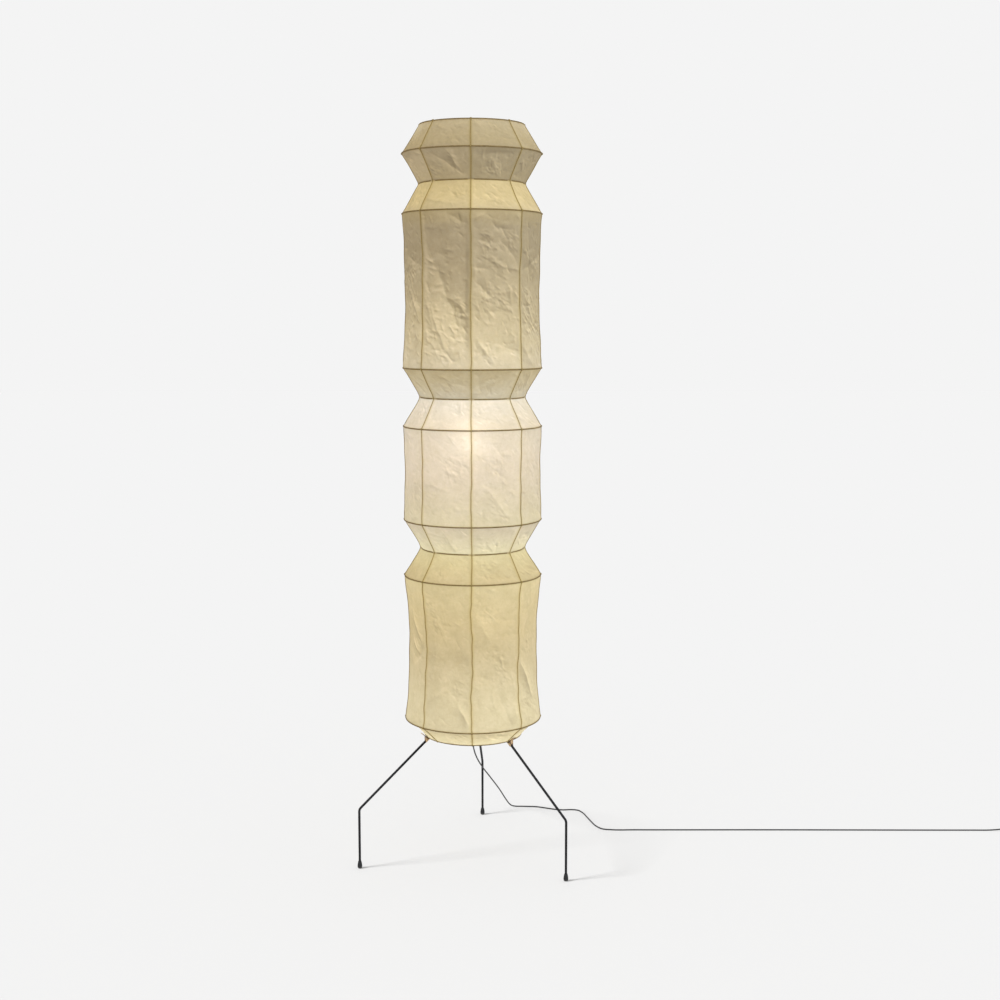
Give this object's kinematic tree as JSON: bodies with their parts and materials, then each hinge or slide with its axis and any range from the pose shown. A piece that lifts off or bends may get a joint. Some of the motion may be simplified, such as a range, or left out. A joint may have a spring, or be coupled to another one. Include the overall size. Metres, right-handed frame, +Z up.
{
  "type": "paper lantern floor lamp",
  "caption": "Tall paper lantern floor lamp: hooped shade with three drums and narrow necks, hung on a wire harp over a bent-rod tripod, with cord, switch and plug.",
  "frame": {"origin": "on the floor, on the upright axis of the shade, stem and hub", "axes": "+Z up; -Y to the front, the side the picture looks from, where one seam faces; +X to the right, the way the cord runs off"},
  "size_m": [1.5289, 0.4522, 1.45],
  "materials": {
    "black_steel": "satin black",
    "grub_steel": "black oxide",
    "foot_rubber": "matte",
    "bamboo": "bare bamboo",
    "brass": "satin",
    "holder_black": "moulded black",
    "ceramic": "unglazed white",
    "bulb_solder": "dull solder",
    "bulb_black": "black vitrite",
    "bulb_cap": "nickel",
    "bulb_glass": "frosted",
    "hoop_wire": "wire wrapped in brown paper",
    "paper": "crinkled mulberry paper",
    "thread": "waxed cotton",
    "cord_black": "matte black flex",
    "plastic_black": "moulded black",
    "plug_pins": "nickel plated"
  },
  "bodies": {
    "stand": {"hub": "black_steel", "grub_screws": "grub_steel", "leg_rear": "black_steel", "leg_left": "black_steel", "leg_right": "black_steel", "foot_rear": "foot_rubber", "foot_left": "foot_rubber", "foot_right": "foot_rubber", "leg_clips": "bamboo", "stem": "black_steel", "stem_locknut": "brass", "holder_locknut": "brass", "harp_saddle": "black_steel", "harp": "black_steel", "harp_stud": "brass", "holder_cap": "holder_black", "holder_insulator": "ceramic", "holder_contact": "brass", "holder_sleeve": "brass", "holder_shell": "holder_black", "cord_gland": "cord_black", "cord": "cord_black", "cord_coil": "cord_black", "coil_tie": "cord_black", "switch_body": "plastic_black", "plug_body": "plastic_black", "plug_pins": "plug_pins"},
    "shade": {"hoop_top": "hoop_wire", "paper_collar": "paper", "paper_head": "paper", "paper_upper_shoulder": "paper", "paper_upper_drum": "paper", "paper_upper_waist": "paper", "paper_middle_shoulder": "paper", "paper_middle_drum": "paper", "paper_middle_waist": "paper", "paper_lower_shoulder": "paper", "paper_lower_drum": "paper", "paper_hem": "paper", "tie_threads": "thread", "spider": "hoop_wire"},
    "bulb_seat": {"bulb_contact": "bulb_solder"},
    "bulb": {"bulb_insulator": "bulb_black", "bulb_cap": "bulb_cap", "bulb_glass": "bulb_glass"},
    "finial_seat": {"finial_washer": "brass"},
    "finial": {"finial": "brass"},
    "switch_rocker": {"switch_rocker": "plastic_black"},
    "hoop_head": {"hoop_head": "hoop_wire"},
    "hoop_upper_neck": {"hoop_upper_neck": "hoop_wire"},
    "hoop_upper_drum_top": {"hoop_upper_drum_top": "hoop_wire"},
    "hoop_upper_drum_base": {"hoop_upper_drum_base": "hoop_wire"},
    "hoop_middle_neck": {"hoop_middle_neck": "hoop_wire"},
    "hoop_middle_drum_top": {"hoop_middle_drum_top": "hoop_wire"},
    "hoop_middle_drum_base": {"hoop_middle_drum_base": "hoop_wire"},
    "hoop_lower_neck": {"hoop_lower_neck": "hoop_wire"},
    "hoop_lower_drum_top": {"hoop_lower_drum_top": "hoop_wire"},
    "hoop_lower_drum_base": {"hoop_lower_drum_base": "hoop_wire"},
    "hoop_bottom": {"hoop_bottom": "hoop_wire"}
  },
  "joints": [
    {"name": "shade_lift", "type": "slide", "parent": "stand", "child": "shade", "axis": [0, 0, 1], "range_m": [0, 1.2]},
    {"name": "shade_fold", "type": "slide", "parent": "shade", "child": "hoop_bottom", "axis": [0, 0, 1], "range_m": [0, 1.0773], "deforming": ["paper_collar", "paper_head", "paper_upper_shoulder", "paper_upper_drum", "paper_upper_waist", "paper_middle_shoulder", "paper_middle_drum", "paper_middle_waist", "paper_lower_shoulder", "paper_lower_drum", "paper_hem", "tie_threads"]},
    {"name": "head_hoop_rise", "type": "slide", "parent": "shade", "child": "hoop_head", "axis": [0, 0, 1], "range_m": [0, 0.0486]},
    {"name": "upper_neck_hoop_rise", "type": "slide", "parent": "shade", "child": "hoop_upper_neck", "axis": [0, 0, 1], "range_m": [0, 0.0999]},
    {"name": "upper_drum_top_hoop_rise", "type": "slide", "parent": "shade", "child": "hoop_upper_drum_top", "axis": [0, 0, 1], "range_m": [0, 0.1512]},
    {"name": "upper_drum_base_hoop_rise", "type": "slide", "parent": "shade", "child": "hoop_upper_drum_base", "axis": [0, 0, 1], "range_m": [0, 0.4185]},
    {"name": "middle_neck_hoop_rise", "type": "slide", "parent": "shade", "child": "hoop_middle_neck", "axis": [0, 0, 1], "range_m": [0, 0.4698]},
    {"name": "middle_drum_top_hoop_rise", "type": "slide", "parent": "shade", "child": "hoop_middle_drum_top", "axis": [0, 0, 1], "range_m": [0, 0.5211]},
    {"name": "middle_drum_base_hoop_rise", "type": "slide", "parent": "shade", "child": "hoop_middle_drum_base", "axis": [0, 0, 1], "range_m": [0, 0.6867]},
    {"name": "lower_neck_hoop_rise", "type": "slide", "parent": "shade", "child": "hoop_lower_neck", "axis": [0, 0, 1], "range_m": [0, 0.738]},
    {"name": "lower_drum_top_hoop_rise", "type": "slide", "parent": "shade", "child": "hoop_lower_drum_top", "axis": [0, 0, 1], "range_m": [0, 0.7866]},
    {"name": "lower_drum_base_hoop_rise", "type": "slide", "parent": "shade", "child": "hoop_lower_drum_base", "axis": [0, 0, 1], "range_m": [0, 1.0467]},
    {"name": "bulb_turn", "type": "hinge", "parent": "bulb_seat", "child": "bulb", "pos_m": [0, 0, 0.78], "axis": [0, 0, 1], "range_deg": [0, 2520]},
    {"name": "bulb_rise", "type": "slide", "parent": "stand", "child": "bulb_seat", "axis": [0, 0, 1], "range_m": [0, 0.0254]},
    {"name": "finial_turn", "type": "hinge", "parent": "finial_seat", "child": "finial", "pos_m": [0, 0, 1.435], "axis": [0, 0, 1], "range_deg": [0, 2880]},
    {"name": "finial_rise", "type": "slide", "parent": "shade", "child": "finial_seat", "axis": [0, 0, 1], "range_m": [0, 0.008]},
    {"name": "switch_rock", "type": "hinge", "parent": "stand", "child": "switch_rocker", "pos_m": [1.181, 0.132, 0.009], "axis": [0, 1, 0], "range_deg": [0, 16]}
  ],
  "couplings": [
    {"joint": "head_hoop_rise", "follows": "shade_fold", "ratio": 0.045113},
    {"joint": "upper_neck_hoop_rise", "follows": "shade_fold", "ratio": 0.092732},
    {"joint": "upper_drum_top_hoop_rise", "follows": "shade_fold", "ratio": 0.14035},
    {"joint": "upper_drum_base_hoop_rise", "follows": "shade_fold", "ratio": 0.38847},
    {"joint": "middle_neck_hoop_rise", "follows": "shade_fold", "ratio": 0.43609},
    {"joint": "middle_drum_top_hoop_rise", "follows": "shade_fold", "ratio": 0.48371},
    {"joint": "middle_drum_base_hoop_rise", "follows": "shade_fold", "ratio": 0.63743},
    {"joint": "lower_neck_hoop_rise", "follows": "shade_fold", "ratio": 0.68505},
    {"joint": "lower_drum_top_hoop_rise", "follows": "shade_fold", "ratio": 0.73016},
    {"joint": "lower_drum_base_hoop_rise", "follows": "shade_fold", "ratio": 0.9716},
    {"joint": "bulb_rise", "follows": "bulb_turn", "m_per_rad": 0.00057757},
    {"joint": "finial_rise", "follows": "finial_turn", "m_per_rad": 0.00015915}
  ]
}
